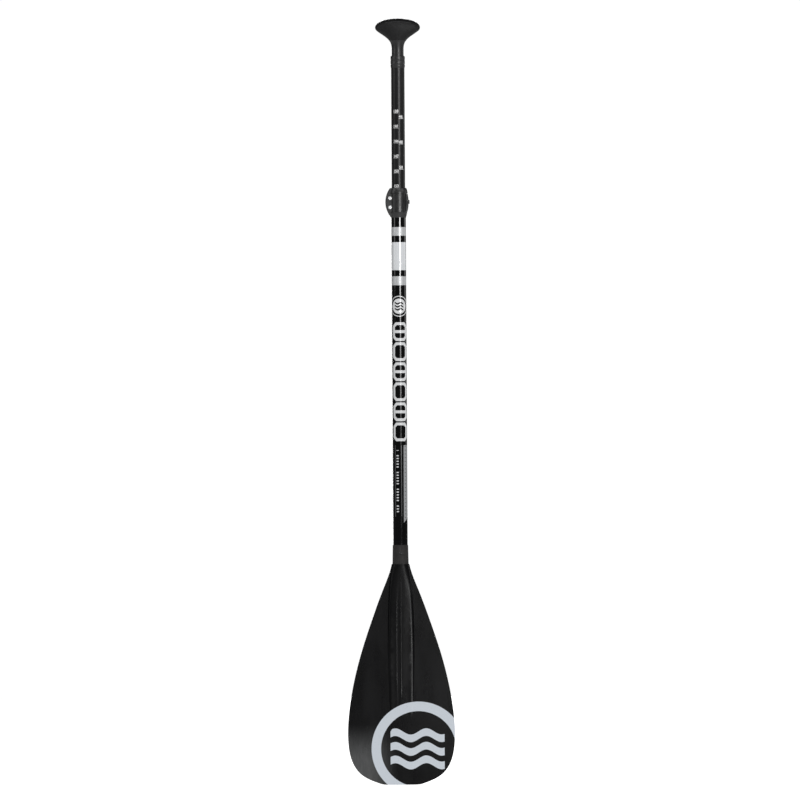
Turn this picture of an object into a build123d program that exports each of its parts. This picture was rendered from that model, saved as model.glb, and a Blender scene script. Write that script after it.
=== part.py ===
"""Single blade paddle with a telescopic shaft, a cam lever clamp and a palm grip.

Millimetres. +Z runs up the shaft to the grip, -Y is the printed face and +X is to its right.
The origin is on the shaft's axis, where a rack clip holds the lower tube.
"""

import os
from math import cos, pi, radians, sin, tan

from build123d import *

os.makedirs("parts", exist_ok=True)

# Heights are given above the tip of the blade and turned into Z by up().
CLIP_HEIGHT = 800.0  # the rack clip, which is the origin
SOCKET_FIT = 0.05  # radial gap of a glued or pushed-in piece


def up(height):
    """Z of a height above the blade's tip."""
    return height - CLIP_HEIGHT


def tube(outer, inner, low, high):
    """Straight round tube on the shaft's axis, between two heights."""
    with BuildPart() as pipe:
        with BuildSketch(Plane.XY.offset(up(low))):
            Circle(outer)
            Circle(inner, mode=Mode.SUBTRACT)
        extrude(amount=high - low)
    return pipe


# ---------------------------------------------------------------- driving dimensions
LOWER_RADIUS = 14.5  # lower tube, outside
LOWER_BORE = 13.5
EXTENSION_RADIUS = 13.45  # sliding tube, outside
EXTENSION_BORE = 12.25

BUTT_HEIGHT = 450.0  # the lower tube stands on the blade's shoulder here
LOWER_TOP = 1186.0
EXTENSION_LOW = 800.0
EXTENSION_TOP = 1448.0

# ---------------------------------------------------------------- blade
NECK_RADIUS = 16.2
NECK_HEIGHT = 440.0
SPIGOT_TOP = 500.0
SPIGOT_HOLLOW = 9.0
SPIGOT_HOLLOW_DEPTH = 45.0
BEND_END = 300.0  # between the neck and here the blade bends forward
SCOOP_START = 150.0  # below here it curves forward a little more
RAKE = tan(radians(9.0))
TIP_RAKE = tan(radians(13.0))
BLADE_HALF_WIDTH = 106.6
EDGE_THICKNESS = 2.4
PANEL_THICKNESS = 6.0


def rake_offset(height):
    """How far the blade's middle plane lies forward of the shaft's axis."""
    bend = NECK_HEIGHT - BEND_END
    straight = BEND_END - SCOOP_START
    if height >= NECK_HEIGHT:
        return 0.0
    if height >= BEND_END:
        return RAKE * (NECK_HEIGHT - height) ** 2 / (2.0 * bend)
    if height >= SCOOP_START:
        return RAKE * (bend / 2.0 + BEND_END - height)
    below = SCOOP_START - height
    return RAKE * (bend / 2.0 + straight + below) + (TIP_RAKE - RAKE) * below**2 / (2.0 * SCOOP_START)


ROOT_HALF_WIDTH = 14.6
ROOT_HEIGHT = 452.0
PANEL_BEHIND = 60.0  # the outline is cut straight through the lens, from behind it
PANEL_CUT = 200.0
with BuildPart() as panel:
    # Outline of one side, from inside the neck, past the widest place, to the flat tip.
    with BuildSketch(Plane.XZ.offset(-PANEL_BEHIND)):
        with BuildLine():
            side = Spline(
                (ROOT_HALF_WIDTH, up(ROOT_HEIGHT)),
                (20.6, up(428.0)),
                (35.7, up(388.0)),
                (57.9, up(328.0)),
                (78.2, up(267.0)),
                (93.9, up(207.0)),
                (104.1, up(147.0)),
                (BLADE_HALF_WIDTH, up(87.0)),
                (99.0, up(47.0)),
                (76.0, up(17.0)),
                (45.0, up(3.0)),
                (0.0, up(0.0)),
                tangents=[(0.25, -1.0), (-1.0, 0.0)],
            )
            mirror(side, about=Plane.YZ)
            Line(side @ 0, (-ROOT_HALF_WIDTH, up(ROOT_HEIGHT)))
        make_face()
    extrude(amount=PANEL_CUT)

# The panel is a flat lens that is thickest on its middle line and leans forward.
LENS_HALF_WIDTH = 115.0
LENS_TOP = 470.0
LENS_STEP = 24.0
LENS_HEIGHTS = [LENS_TOP - LENS_STEP * step for step in range(21)]
TIP_THINNING = 0.35  # share by which the middle is thinner at the tip
with BuildPart() as lens:
    for height in LENS_HEIGHTS:
        middle = -rake_offset(height)
        taper = 1.0 - TIP_THINNING * (1.0 - max(height, 0.0) / NECK_HEIGHT)
        crown = PANEL_THICKNESS / 2.0 * taper
        rim = EDGE_THICKNESS / 2.0
        with BuildSketch(Plane.XY.offset(up(height))):
            with BuildLine():
                front = Spline(
                    (-LENS_HALF_WIDTH, middle - rim),
                    (0.0, middle - crown),
                    (LENS_HALF_WIDTH, middle - rim),
                )
                back = Spline(
                    (LENS_HALF_WIDTH, middle + rim),
                    (0.0, middle + crown),
                    (-LENS_HALF_WIDTH, middle + rim),
                )
                Line(front @ 1, back @ 0)
                Line(back @ 1, front @ 0)
            make_face()
    loft()

# The spine starts as the round neck and flattens until it fades into the panel.
SPINE_TOP = 446.0
SPINE_STEP = 23.4
SPINE_HEIGHTS = [SPINE_TOP - SPINE_STEP * step for step in range(16)]
SPINE_END_DEPTH = 1.5
SPINE_SPREAD = 12.5  # how much wider than the neck it gets
SPREAD_ARC = 0.75 * pi  # it is widest at two thirds of this arc and narrows a little after
SPREAD_EASE = 0.6
DEPTH_FALL = 1.35
RIDGE_SLOPE = 0.035  # the crest is a soft ridge, sharpest a little above the middle
RIDGE_EASE = 0.7
RIM_TURN = 50.0  # how much flatter than upright the spine's foot becomes, in degrees
SQUARENESS = 2.0  # how much squarer than an ellipse its section becomes
TURN_SHARE = 0.2  # share of the length over which both happen
SECTION_SHARES = (0.85, 0.6, 0.3)  # the section's points, as shares of its half width


def spine_half(side):
    """One face of the spine, solid down to the middle plane: side is -1 in front, 1 behind."""
    with BuildPart() as half:
        for height in SPINE_HEIGHTS:
            middle = -rake_offset(height)
            along = max(0.0, (NECK_HEIGHT - height) / (NECK_HEIGHT - SPINE_HEIGHTS[-1]))
            half_width = NECK_RADIUS + SPINE_SPREAD * sin(SPREAD_ARC * along**SPREAD_EASE)
            half_depth = SPINE_END_DEPTH + (NECK_RADIUS - SPINE_END_DEPTH) * (1.0 - along) ** DEPTH_FALL
            ridge = RIDGE_SLOPE * sin(pi * along**RIDGE_EASE)
            turned = min(1.0, along / TURN_SHARE)
            rim_angle = radians(90.0 - RIM_TURN * turned)
            foot = (cos(rim_angle), side * sin(rim_angle))
            power = 2.0 + SQUARENESS * turned
            points = []
            for share in SECTION_SHARES:
                rise = half_depth * (1.0 - share**power) ** (1.0 / power)
                points.append((share * half_width, middle + side * rise))
            crest = (0.0, middle + side * half_depth)
            with BuildSketch(Plane.XY.offset(up(height))):
                with BuildLine():
                    Spline(
                        (-half_width, middle),
                        *[(-x, y) for x, y in points],
                        crest,
                        tangents=[foot, (1.0, side * ridge)],
                    )
                    Spline(
                        crest,
                        *reversed(points),
                        (half_width, middle),
                        tangents=[(1.0, -side * ridge), (foot[0], -foot[1])],
                    )
                    Line((half_width, middle), (-half_width, middle))
                make_face()
        loft()
    return half


# A slim bead runs down the crest of the front and sinks into it at both ends.
BEAD_RADIUS = 2.8
BEAD_TOP = 425.0
BEAD_STEP = 24.0
BEAD_COUNT = 12
BEAD_RISE = 0.8
BEAD_SINK = 0.35  # how far below the crest its ends are
with BuildPart() as bead:
    for step in range(BEAD_COUNT):
        height = BEAD_TOP - BEAD_STEP * step
        along = (NECK_HEIGHT - height) / (NECK_HEIGHT - SPINE_HEIGHTS[-1])
        crest = SPINE_END_DEPTH + (NECK_RADIUS - SPINE_END_DEPTH) * (1.0 - along) ** DEPTH_FALL
        proud = (BEAD_RISE + BEAD_SINK) * sin(pi * step / (BEAD_COUNT - 1)) ** 0.5 - BEAD_SINK
        with BuildSketch(Plane.XY.offset(up(height))):
            with Locations((0.0, -rake_offset(height) - crest - proud + BEAD_RADIUS)):
                Circle(BEAD_RADIUS)
    loft()

RIVET_HEIGHT = 462.0
RIVET_SHANK = 1.6
RIVET_HOLE = 1.65
ROOT_CUT_RADIUS = 40.0
with BuildPart() as blade:
    add(panel.part)
    add(lens.part, mode=Mode.INTERSECT)
    add(spine_half(-1).part)
    add(spine_half(1).part)
    add(bead.part)
    # Everything above the shoulder is the narrower root and the hollow spigot.
    with BuildSketch(Plane.XY.offset(up(NECK_HEIGHT))):
        Circle(ROOT_CUT_RADIUS)
    extrude(amount=2.0 * (SPIGOT_TOP - NECK_HEIGHT), mode=Mode.SUBTRACT)
    with BuildSketch(Plane.XY.offset(up(NECK_HEIGHT))):
        Circle(LOWER_RADIUS)
    extrude(amount=BUTT_HEIGHT - NECK_HEIGHT)
    with BuildSketch(Plane.XY.offset(up(BUTT_HEIGHT))):
        Circle(LOWER_BORE - SOCKET_FIT)
    extrude(amount=SPIGOT_TOP - BUTT_HEIGHT)
    with BuildSketch(Plane.XY.offset(up(SPIGOT_TOP))):
        Circle(SPIGOT_HOLLOW)
    extrude(amount=-SPIGOT_HOLLOW_DEPTH, mode=Mode.SUBTRACT)
    with BuildSketch(Plane.XZ):
        with Locations((0.0, up(RIVET_HEIGHT))):
            Circle(RIVET_HOLE)
    extrude(amount=LOWER_RADIUS, both=True, mode=Mode.SUBTRACT)
blade.part.label = "blade"
export_step(blade.part, "parts/blade.step")

# ---------------------------------------------------------------- neck sleeve and rivets
SLEEVE_TOP = 478.0
SLEEVE_TOP_RADIUS = 15.45
SLEEVE_LIP = 0.4  # the top edge is rounded off by this much
RIVET_HEAD_RADIUS = 3.2
RIVET_HEAD_RISE = 1.3
RIVET_HEAD_TAPER = 38.0
RIVET_SEAT = 15.4  # flat that the head presses into the sleeve, from the axis
RIVET_END = 8.0  # the shank ends this far from the axis
with BuildPart() as neck_sleeve:
    with BuildSketch(Plane.XZ):
        with BuildLine():
            Polyline(
                (LOWER_RADIUS + SOCKET_FIT, up(NECK_HEIGHT)),
                (NECK_RADIUS, up(NECK_HEIGHT)),
                (SLEEVE_TOP_RADIUS, up(SLEEVE_TOP - 2.0 * SLEEVE_LIP)),
                (SLEEVE_TOP_RADIUS - SLEEVE_LIP, up(SLEEVE_TOP)),
                (LOWER_RADIUS + SOCKET_FIT, up(SLEEVE_TOP)),
                close=True,
            )
        make_face()
    revolve(axis=Axis.Z)
    with BuildSketch(Plane.XZ):
        with Locations((0.0, up(RIVET_HEIGHT))):
            Circle(RIVET_HOLE)
    extrude(amount=2.0 * NECK_RADIUS, both=True, mode=Mode.SUBTRACT)
    for side in (-1, 1):
        seat = Plane(origin=(0.0, side * RIVET_SEAT, up(RIVET_HEIGHT)), z_dir=(0.0, side, 0.0))
        with BuildSketch(seat):
            Circle(RIVET_HEAD_RADIUS + SOCKET_FIT)
        extrude(amount=NECK_RADIUS, mode=Mode.SUBTRACT)
neck_sleeve.part.label = "neck_sleeve"
export_step(neck_sleeve.part, "parts/neck_sleeve.step")

with BuildPart() as neck_rivets:
    for side in (-1, 1):
        seat = Plane(origin=(0.0, side * RIVET_SEAT, up(RIVET_HEIGHT)), z_dir=(0.0, side, 0.0))
        with BuildSketch(seat):
            Circle(RIVET_HEAD_RADIUS)
        extrude(amount=RIVET_HEAD_RISE, taper=RIVET_HEAD_TAPER)
        with BuildSketch(seat):
            Circle(RIVET_SHANK)
        extrude(amount=RIVET_END - RIVET_SEAT)
neck_rivets.part.label = "neck_rivets"
export_step(neck_rivets.part, "parts/neck_rivets.step")

# ---------------------------------------------------------------- lower tube
SLOT_WIDTH = 3.0
SLOT_LOW = 1142.0
SLOT_END_RADIUS = 2.5
with BuildPart() as lower_shaft:
    add(tube(LOWER_RADIUS, LOWER_BORE, BUTT_HEIGHT, LOWER_TOP).part)
    with BuildSketch(Plane.XZ):
        with Locations((0.0, up(RIVET_HEIGHT))):
            Circle(RIVET_HOLE)
    extrude(amount=2.0 * LOWER_RADIUS, both=True, mode=Mode.SUBTRACT)
    # A slot on the left lets the end of the tube close on the extension.
    with BuildSketch(Plane.YZ):
        with Locations((0.0, up((SLOT_LOW + LOWER_TOP) / 2.0))):
            Rectangle(SLOT_WIDTH, LOWER_TOP - SLOT_LOW)
        with Locations((0.0, up(SLOT_LOW))):
            Circle(SLOT_END_RADIUS)
    extrude(amount=-2.0 * LOWER_RADIUS, mode=Mode.SUBTRACT)
lower_shaft.part.label = "lower_shaft"
export_step(lower_shaft.part, "parts/lower_shaft.step")

FOAM_LENGTH = 39.0
FOAM_EASE = 0.1
FOAM_GAP = 1.0
with BuildPart() as shaft_float:
    with BuildSketch(Plane.XY.offset(up(SPIGOT_TOP + FOAM_GAP))):
        Circle(LOWER_BORE - FOAM_EASE)
    extrude(amount=FOAM_LENGTH)
shaft_float.part.label = "shaft_float"
export_step(shaft_float.part, "parts/shaft_float.step")

# ---------------------------------------------------------------- clamp collar
CLAMP_LOW = 1134.0
CLAMP_TOP = 1193.4
BARREL_LOW = 1145.0
BARREL_TOP = 1181.6
BARREL_RADIUS = 16.5
COLLAR_BORE = LOWER_RADIUS + SOCKET_FIT
RIM_RADIUS = 18.4
RIM_ROUND = (17.6, 1188.2)  # a point on the rounded rim
RIM_SHOULDER = 16.0
RIM_EDGE = 15.4
CONE_RADIUS = 17.6
CONE_FOOT = 15.0
SHELF_STEP = 0.6
LIP_BORE = 13.75
LIP_LOW = 1192.0
EAR_REACH = 26.3  # the ears' widest point, left of the axis
EAR_FRONT = 9.0  # their faces, before and behind the axis
EAR_BACK = 9.4
EAR_TOP_X = 17.2
EAR_LOW_X = 15.0
EAR_ROOT = 10.0  # inside the wall of the barrel
EAR_CENTRE = 1166.0
EAR_INSET = 0.4  # the ears end just inside the collar's two ends
EAR_EDGE = 1.6
SLIT_HALF = 1.2
SCREW_X = -17.0
SCREW_HEIGHTS = (1154.5, 1172.9)
SCREW_HOLE = 2.2
SCREW_HEAD_RADIUS = 3.7
HEAD_POCKET = SCREW_HEAD_RADIUS + 0.2

with BuildPart() as ears:
    with BuildSketch(Plane.XZ.offset(-EAR_BACK)):
        with BuildLine():
            bulge = ThreePointArc(
                (-EAR_TOP_X, up(CLAMP_TOP - EAR_INSET)),
                (-EAR_REACH, up(EAR_CENTRE)),
                (-EAR_LOW_X, up(CLAMP_LOW + EAR_INSET)),
            )
            Polyline(
                bulge @ 1,
                (-EAR_ROOT, up(CLAMP_LOW + EAR_INSET)),
                (-EAR_ROOT, up(CLAMP_TOP - EAR_INSET)),
                bulge @ 0,
            )
        make_face()
    extrude(amount=EAR_BACK + EAR_FRONT)
    fillet(ears.edges().filter_by(GeomType.CIRCLE), radius=EAR_EDGE)

with BuildPart() as clamp_collar:
    with BuildSketch(Plane.XZ):
        with BuildLine():
            Polyline(
                (0.0, up(CLAMP_TOP)),
                (0.0, up(CLAMP_LOW)),
                (CONE_FOOT, up(CLAMP_LOW)),
                (CONE_RADIUS, up(BARREL_LOW - SHELF_STEP)),
                (BARREL_RADIUS, up(BARREL_LOW)),
                (BARREL_RADIUS, up(BARREL_TOP)),
                (RIM_RADIUS, up(BARREL_TOP + SHELF_STEP)),
            )
            rim_arc = ThreePointArc(
                (RIM_RADIUS, up(BARREL_TOP + SHELF_STEP)),
                (RIM_ROUND[0], up(RIM_ROUND[1])),
                (RIM_SHOULDER, up(CLAMP_TOP - SHELF_STEP)),
            )
            Polyline(rim_arc @ 1, (RIM_EDGE, up(CLAMP_TOP)), (0.0, up(CLAMP_TOP)))
        make_face()
    revolve(axis=Axis.Z)
    add(ears.part)
    # Bore for the lower tube, with a narrower lip over its end.
    with BuildSketch(Plane.XY.offset(up(CLAMP_LOW))):
        Circle(COLLAR_BORE)
    extrude(amount=LIP_LOW - CLAMP_LOW, mode=Mode.SUBTRACT)
    with BuildSketch(Plane.XY.offset(up(LIP_LOW))):
        Circle(LIP_BORE)
    extrude(amount=CLAMP_TOP - LIP_LOW, mode=Mode.SUBTRACT)
    # The slit parts the two ears.
    with BuildSketch(Plane.YZ.offset(-LIP_BORE + 1.0)):
        with Locations((0.0, up((CLAMP_LOW + CLAMP_TOP) / 2.0))):
            Rectangle(2.0 * SLIT_HALF, CLAMP_TOP - CLAMP_LOW)
    extrude(amount=-EAR_REACH, mode=Mode.SUBTRACT)
    for height in SCREW_HEIGHTS:
        with BuildSketch(Plane.XZ):
            with Locations((SCREW_X, up(height))):
                Circle(SCREW_HOLE)
        extrude(amount=2.0 * EAR_BACK, both=True, mode=Mode.SUBTRACT)
        with BuildSketch(Plane.XZ.offset(EAR_FRONT)):
            with Locations((SCREW_X, up(height))):
                Circle(HEAD_POCKET)
        extrude(amount=RIM_RADIUS, mode=Mode.SUBTRACT)
clamp_collar.part.label = "clamp_collar"
export_step(clamp_collar.part, "parts/clamp_collar.step")

# ---------------------------------------------------------------- wiper ring
WIPER_GAP = 0.1
with BuildPart() as wiper_ring:
    add(tube(LOWER_RADIUS, LOWER_BORE, LOWER_TOP + WIPER_GAP, LIP_LOW - WIPER_GAP).part)
wiper_ring.part.label = "wiper_ring"
export_step(wiper_ring.part, "parts/wiper_ring.step")

# ---------------------------------------------------------------- screws, pad and axle
PIVOT_Y = 17.6
AXLE_RADIUS = 3.5
AXLE_LOW = 1146.8
AXLE_TOP = 1179.8
PAD_THICKNESS = 1.3
SCREW_RADIUS = 1.95
SCREW_END_Y = 19.6
HEAD_HEIGHT = 2.6
HEX_KEY = 2.5
HEX_DEPTH = 1.4
HEAD_EDGE = 1.0
with BuildPart() as clamp_screws:
    for height in SCREW_HEIGHTS:
        with BuildSketch(Plane.XZ.offset(EAR_FRONT)):
            with Locations((SCREW_X, up(height))):
                Circle(SCREW_HEAD_RADIUS)
        extrude(amount=HEAD_HEIGHT)
        with BuildSketch(Plane.XZ.offset(EAR_FRONT)):
            with Locations((SCREW_X, up(height))):
                Circle(SCREW_RADIUS)
        extrude(amount=-EAR_FRONT - SCREW_END_Y)
    head_rims = clamp_screws.faces().sort_by(Axis.Y)[:2].edges()
    fillet(head_rims, radius=HEAD_EDGE)
    for height in SCREW_HEIGHTS:
        with BuildSketch(Plane.XZ.offset(EAR_FRONT + HEAD_HEIGHT)):
            with Locations((SCREW_X, up(height))):
                RegularPolygon(HEX_KEY / 2.0, 6, major_radius=False)
        extrude(amount=-HEX_DEPTH, mode=Mode.SUBTRACT)
clamp_screws.part.label = "clamp_screws"
export_step(clamp_screws.part, "parts/clamp_screws.step")

PAD_X = -18.0
PAD_WIDTH = 7.2
PAD_LENGTH = 31.0
PAD_CORNER = 2.0
with BuildPart() as cam_pad:
    with BuildSketch(Plane.XZ.offset(-EAR_BACK)):
        with Locations((PAD_X, up(sum(SCREW_HEIGHTS) / 2.0))):
            RectangleRounded(PAD_WIDTH, PAD_LENGTH, PAD_CORNER)
        with Locations(*[(SCREW_X, up(height)) for height in SCREW_HEIGHTS]):
            Circle(SCREW_HOLE, mode=Mode.SUBTRACT)
    extrude(amount=-PAD_THICKNESS)
cam_pad.part.label = "cam_pad"
export_step(cam_pad.part, "parts/cam_pad.step")

with BuildPart() as lever_axle:
    with BuildSketch(Plane.XY.offset(up(AXLE_LOW))):
        with Locations((SCREW_X, PIVOT_Y)):
            Circle(AXLE_RADIUS)
    extrude(amount=AXLE_TOP - AXLE_LOW)
    for height in SCREW_HEIGHTS:
        with BuildSketch(Plane.XZ.offset(-PIVOT_Y)):
            with Locations((SCREW_X, up(height))):
                Circle(SCREW_RADIUS + SOCKET_FIT)
        extrude(amount=AXLE_RADIUS, both=True, mode=Mode.SUBTRACT)
lever_axle.part.label = "lever_axle"
export_step(lever_axle.part, "parts/lever_axle.step")

# ---------------------------------------------------------------- clamp lever
ARM_INNER = 16.9
ARM_LOW = 1145.8
ARM_TOP = 1181.2
ARM_FIRST_ANGLE = -30.0
ARM_SWEEP = 155.0
HUB_RADIUS = 6.0
CAM_THROW = 0.8
HUB_LOW = 1147.0
HUB_TOP = 1179.6
WEB_INSET = 3.5
SCREW_GAP_RADIUS = 7.4
SCREW_GAP_HALF = 2.6
HUB_EDGE = 0.9
CROWN = ((17.9, ARM_LOW), (20.4, 1165.0), (18.5, ARM_TOP))  # radius and height on the outside
ARM_EDGE = 1.2
TAB_SWEEP = 13.0
TAB_ROOT = 18.0
TAB_REACH = 23.2
TAB_ROOT_HEIGHTS = (1160.2, 1170.6)
TAB_TIP_HEIGHTS = (1161.6, 1169.0)
WEB_OUTLINE = ((-17.0, 22.6), (-6.0, 19.3), (-4.0, 17.3), (-9.8, 14.3), (-13.6, 12.8))


def radial_plane(angle):
    """Upright plane through the shaft's axis, with its X pointing out at an angle."""
    turn = radians(angle)
    return Plane(origin=(0, 0, 0), x_dir=(cos(turn), sin(turn), 0), z_dir=(sin(turn), -cos(turn), 0))


with BuildPart() as clamp_lever:
    with BuildSketch(radial_plane(ARM_FIRST_ANGLE)):
        with BuildLine():
            crown = ThreePointArc(*[(radius, up(height)) for radius, height in CROWN])
            Polyline(crown @ 1, (ARM_INNER, up(ARM_TOP)), (ARM_INNER, up(ARM_LOW)), crown @ 0)
        make_face()
    revolve(axis=Axis.Z, revolution_arc=ARM_SWEEP)
    free_end = clamp_lever.faces().sort_by(Axis.Y)[0]
    fillet(free_end.edges().filter_by(GeomType.CIRCLE), radius=ARM_EDGE)
    # Finger tab at the free end.
    with BuildSketch(radial_plane(ARM_FIRST_ANGLE)):
        Polygon(
            (TAB_ROOT, up(TAB_ROOT_HEIGHTS[0])),
            (TAB_REACH, up(TAB_TIP_HEIGHTS[0])),
            (TAB_REACH, up(TAB_TIP_HEIGHTS[1])),
            (TAB_ROOT, up(TAB_ROOT_HEIGHTS[1])),
            align=None,
        )
    revolve(axis=Axis.Z, revolution_arc=TAB_SWEEP)
    # Web from the arm to the hub.
    with BuildSketch(Plane.XY.offset(up(HUB_LOW + WEB_INSET))):
        Polygon(*WEB_OUTLINE, align=None)
    extrude(amount=HUB_TOP - HUB_LOW - 2.0 * WEB_INSET)
    # The hub is the cam: it is set off from the axle towards the pad.
    with BuildSketch(Plane.XY.offset(up(HUB_LOW))):
        with Locations((SCREW_X, PIVOT_Y - CAM_THROW)):
            Circle(HUB_RADIUS)
    extrude(amount=HUB_TOP - HUB_LOW)
    hub_ends = clamp_lever.edges().filter_by(GeomType.CIRCLE)
    hub_ends = hub_ends.filter_by(lambda edge: abs(edge.radius - HUB_RADIUS) < 0.01)
    fillet(hub_ends.group_by(Axis.Z)[0] + hub_ends.group_by(Axis.Z)[-1], radius=HUB_EDGE)
    with BuildSketch(Plane.XY.offset(up(ARM_LOW))):
        with Locations((SCREW_X, PIVOT_Y)):
            Circle(AXLE_RADIUS + SOCKET_FIT)
    extrude(amount=ARM_TOP - ARM_LOW, mode=Mode.SUBTRACT)
    for height in SCREW_HEIGHTS:
        with BuildSketch(Plane.XY.offset(up(height - SCREW_GAP_HALF))):
            with Locations((SCREW_X, PIVOT_Y)):
                Circle(SCREW_GAP_RADIUS)
        extrude(amount=2.0 * SCREW_GAP_HALF, mode=Mode.SUBTRACT)
clamp_lever.part.label = "clamp_lever"
export_step(clamp_lever.part, "parts/clamp_lever.step")

# ---------------------------------------------------------------- extension tube and its foot
PIN_HEIGHT = 1445.3  # between the ferrule's grooves
PIN_RADIUS = 1.5
PIN_HOLE = 1.53
PIN_HALF_LENGTH = 14.3
with BuildPart() as extension_tube:
    add(tube(EXTENSION_RADIUS, EXTENSION_BORE, EXTENSION_LOW, EXTENSION_TOP).part)
    with BuildSketch(Plane.YZ):
        with Locations((0.0, up(PIN_HEIGHT))):
            Circle(PIN_HOLE)
    extrude(amount=2.0 * EXTENSION_RADIUS, both=True, mode=Mode.SUBTRACT)
extension_tube.part.label = "extension_tube"
export_step(extension_tube.part, "parts/extension_tube.step")

FOOT_LOW = 780.0
GLIDE_LOW = 784.0
GLIDE_TOP = 794.0
FOOT_TOP = 830.0
FOOT_GROOVE = 10.5
FOOT_RADIUS = 13.1
FOOT_CHAMFER = 1.0
GLIDE_RADIUS = 13.47
GLIDE_BORE = 10.6
GLIDE_EASE = 0.2
GLIDE_SPLIT = 1.2
with BuildPart() as extension_foot:
    with BuildSketch(Plane.XZ):
        with BuildLine():
            Polyline(
                (0.0, up(FOOT_LOW)),
                (FOOT_RADIUS - FOOT_CHAMFER, up(FOOT_LOW)),
                (FOOT_RADIUS, up(FOOT_LOW + FOOT_CHAMFER)),
                (FOOT_RADIUS, up(GLIDE_LOW)),
                (FOOT_GROOVE, up(GLIDE_LOW)),
                (FOOT_GROOVE, up(GLIDE_TOP)),
                (EXTENSION_RADIUS - SOCKET_FIT, up(GLIDE_TOP)),
                (EXTENSION_RADIUS - SOCKET_FIT, up(EXTENSION_LOW)),
                (EXTENSION_BORE - SOCKET_FIT, up(EXTENSION_LOW)),
                (EXTENSION_BORE - SOCKET_FIT, up(FOOT_TOP)),
                (0.0, up(FOOT_TOP)),
                close=True,
            )
        make_face()
    revolve(axis=Axis.Z)
extension_foot.part.label = "extension_foot"
export_step(extension_foot.part, "parts/extension_foot.step")

with BuildPart() as glide_ring:
    add(tube(GLIDE_RADIUS, GLIDE_BORE, GLIDE_LOW + GLIDE_EASE, GLIDE_TOP - GLIDE_EASE).part)
    with BuildSketch(Plane.YZ):
        with Locations((0.0, up((GLIDE_LOW + GLIDE_TOP) / 2.0))):
            Rectangle(GLIDE_SPLIT, GLIDE_TOP - GLIDE_LOW)
    extrude(amount=GLIDE_RADIUS, mode=Mode.SUBTRACT)
glide_ring.part.label = "glide_ring"
export_step(glide_ring.part, "parts/glide_ring.step")

FOAM_RATIO = 1.8  # the extension's plug is longer than the shaft's by this
with BuildPart() as extension_float:
    with BuildSketch(Plane.XY.offset(up(FOOT_TOP + FOAM_GAP))):
        Circle(EXTENSION_BORE - FOAM_EASE)
    extrude(amount=FOAM_RATIO * FOAM_LENGTH)
extension_float.part.label = "extension_float"
export_step(extension_float.part, "parts/extension_float.step")

# ---------------------------------------------------------------- ferrule and its pin
FERRULE_LOW = 1434.0
FERRULE_TOP = 1458.0
FERRULE_RADIUS = 14.35
FERRULE_FOOT = 13.75  # radius at the lower edge, with a taper above it
FERRULE_TAPER = 4.0
FERRULE_CHAMFER = 1.05
GROOVE_DEPTH = 0.65
GROOVE_HALF = 1.0
GROOVE_FLAT = 0.3
GROOVE_HEIGHTS = (1441.0, 1449.6)
STEM_RADIUS = EXTENSION_BORE - SOCKET_FIT
FERRULE_STEP = EXTENSION_TOP + 0.1
with BuildPart() as grip_ferrule:
    with BuildSketch(Plane.XZ):
        with BuildLine():
            Polyline(
                (EXTENSION_RADIUS + SOCKET_FIT, up(FERRULE_LOW)),
                (FERRULE_FOOT, up(FERRULE_LOW)),
                (FERRULE_RADIUS, up(FERRULE_LOW + FERRULE_TAPER)),
                (FERRULE_RADIUS, up(FERRULE_TOP - FERRULE_CHAMFER)),
                (FERRULE_RADIUS - FERRULE_CHAMFER, up(FERRULE_TOP)),
                (STEM_RADIUS + SOCKET_FIT, up(FERRULE_TOP)),
                (STEM_RADIUS + SOCKET_FIT, up(FERRULE_STEP)),
                (EXTENSION_RADIUS + SOCKET_FIT, up(FERRULE_STEP)),
                close=True,
            )
        make_face()
        for height in GROOVE_HEIGHTS:
            with BuildLine():
                Polyline(
                    (FERRULE_RADIUS + GROOVE_DEPTH, up(height - 2.0 * GROOVE_HALF)),
                    (FERRULE_RADIUS - GROOVE_DEPTH, up(height - GROOVE_FLAT)),
                    (FERRULE_RADIUS - GROOVE_DEPTH, up(height + GROOVE_FLAT)),
                    (FERRULE_RADIUS + GROOVE_DEPTH, up(height + 2.0 * GROOVE_HALF)),
                    close=True,
                )
            make_face(mode=Mode.SUBTRACT)
    revolve(axis=Axis.Z)
    with BuildSketch(Plane.YZ):
        with Locations((0.0, up(PIN_HEIGHT))):
            Circle(PIN_HOLE)
    extrude(amount=2.0 * FERRULE_RADIUS, both=True, mode=Mode.SUBTRACT)
grip_ferrule.part.label = "grip_ferrule"
export_step(grip_ferrule.part, "parts/grip_ferrule.step")

with BuildPart() as grip_pin:
    with BuildSketch(Plane.YZ):
        with Locations((0.0, up(PIN_HEIGHT))):
            Circle(PIN_RADIUS)
    extrude(amount=PIN_HALF_LENGTH, both=True)
grip_pin.part.label = "grip_pin"
export_step(grip_pin.part, "parts/grip_pin.step")

# ---------------------------------------------------------------- palm grip
NECK_SIZE = 11.9  # radius of the round neck
PALM_HALF_WIDTH = 45.0
PALM_HALF_DEPTH = 19.6
FLARE_START = 1466.0
WIDTH_EASE = 1.83  # the width grows later up the flare than the depth does
DEPTH_EASE = 1.3
DOME_BLUNTNESS = 2.3
INNER_LEVELS = slice(6, 18)  # the levels that the hard core of the palm follows
PALM_HEIGHT = 1514.0  # the widest level
GRIP_TOP = 1533.2
FLARE_STEPS = 12
DOME_STEPS = 8
DOME_LAST_TURN = 84.0


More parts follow.
